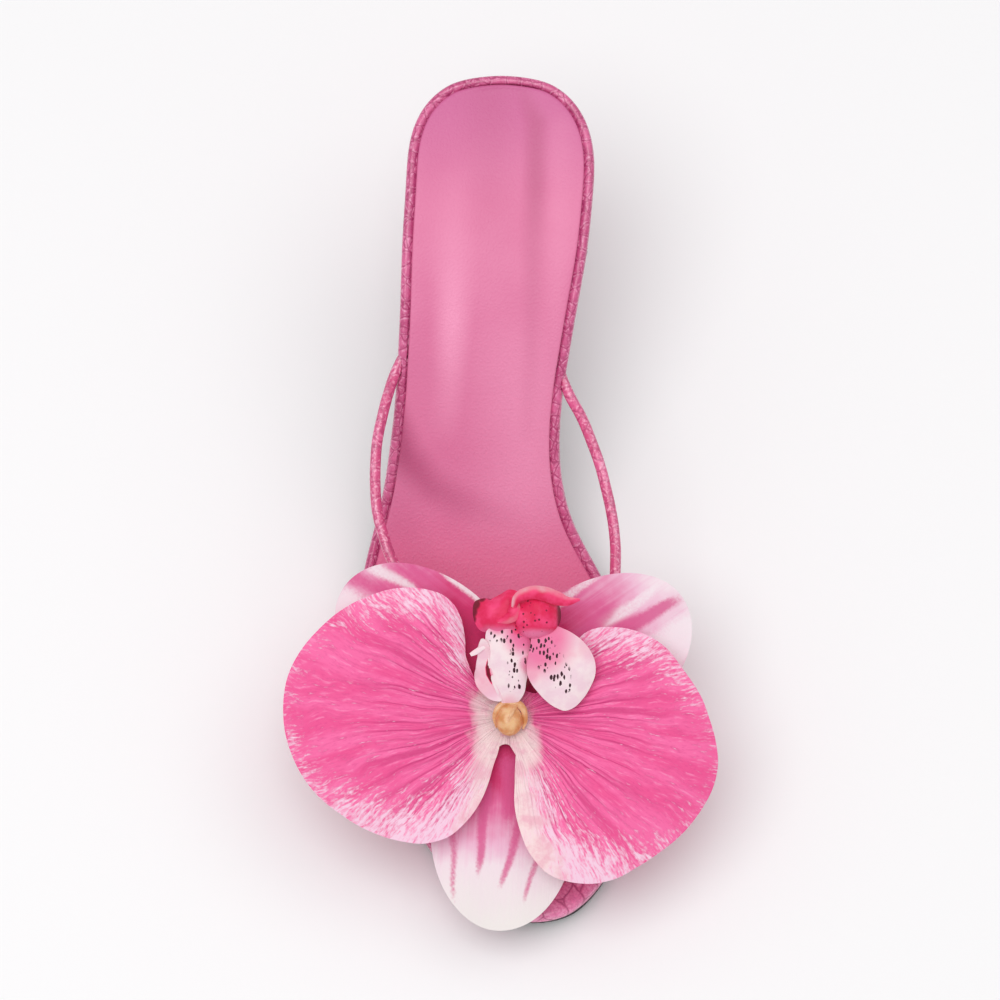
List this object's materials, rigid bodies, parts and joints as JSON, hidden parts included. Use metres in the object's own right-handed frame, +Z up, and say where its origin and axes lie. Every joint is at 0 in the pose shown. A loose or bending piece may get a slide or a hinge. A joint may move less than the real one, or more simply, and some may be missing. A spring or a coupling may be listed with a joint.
{
  "type": "heeled toe post sandal",
  "caption": "Right-foot high-heeled sandal: shaped sole with a soft footbed, slim covered heel, rolled thong straps, toe post and a large orchid over the toes.",
  "frame": {"origin": "middle of the heel tip's flat underside, on the floor", "axes": "+Z up from the floor, the toe points to -Y and the heel back to +Y, the inner (big toe) side is +X"},
  "size_m": [0.1199, 0.2366, 0.0747],
  "materials": {
    "croc_leather": "glossy croc-embossed leather",
    "footbed_leather": "smooth satin leather",
    "outsole_rubber": "matt",
    "petal_fabric": "printed petal cloth",
    "sepal_fabric": "printed petal cloth",
    "lip_foam": "soft moulded foam",
    "column_resin": "satin"
  },
  "bodies": {
    "root": {"wrapped_board": "croc_leather", "sock": "footbed_leather", "outsole": "outsole_rubber", "heel": "croc_leather", "heel_tip": "outsole_rubber", "thong_upper": "croc_leather", "flower_sepals": "sepal_fabric", "flower_petals": "petal_fabric", "flower_lip": "lip_foam", "flower_column": "column_resin"}
  },
  "joints": []
}
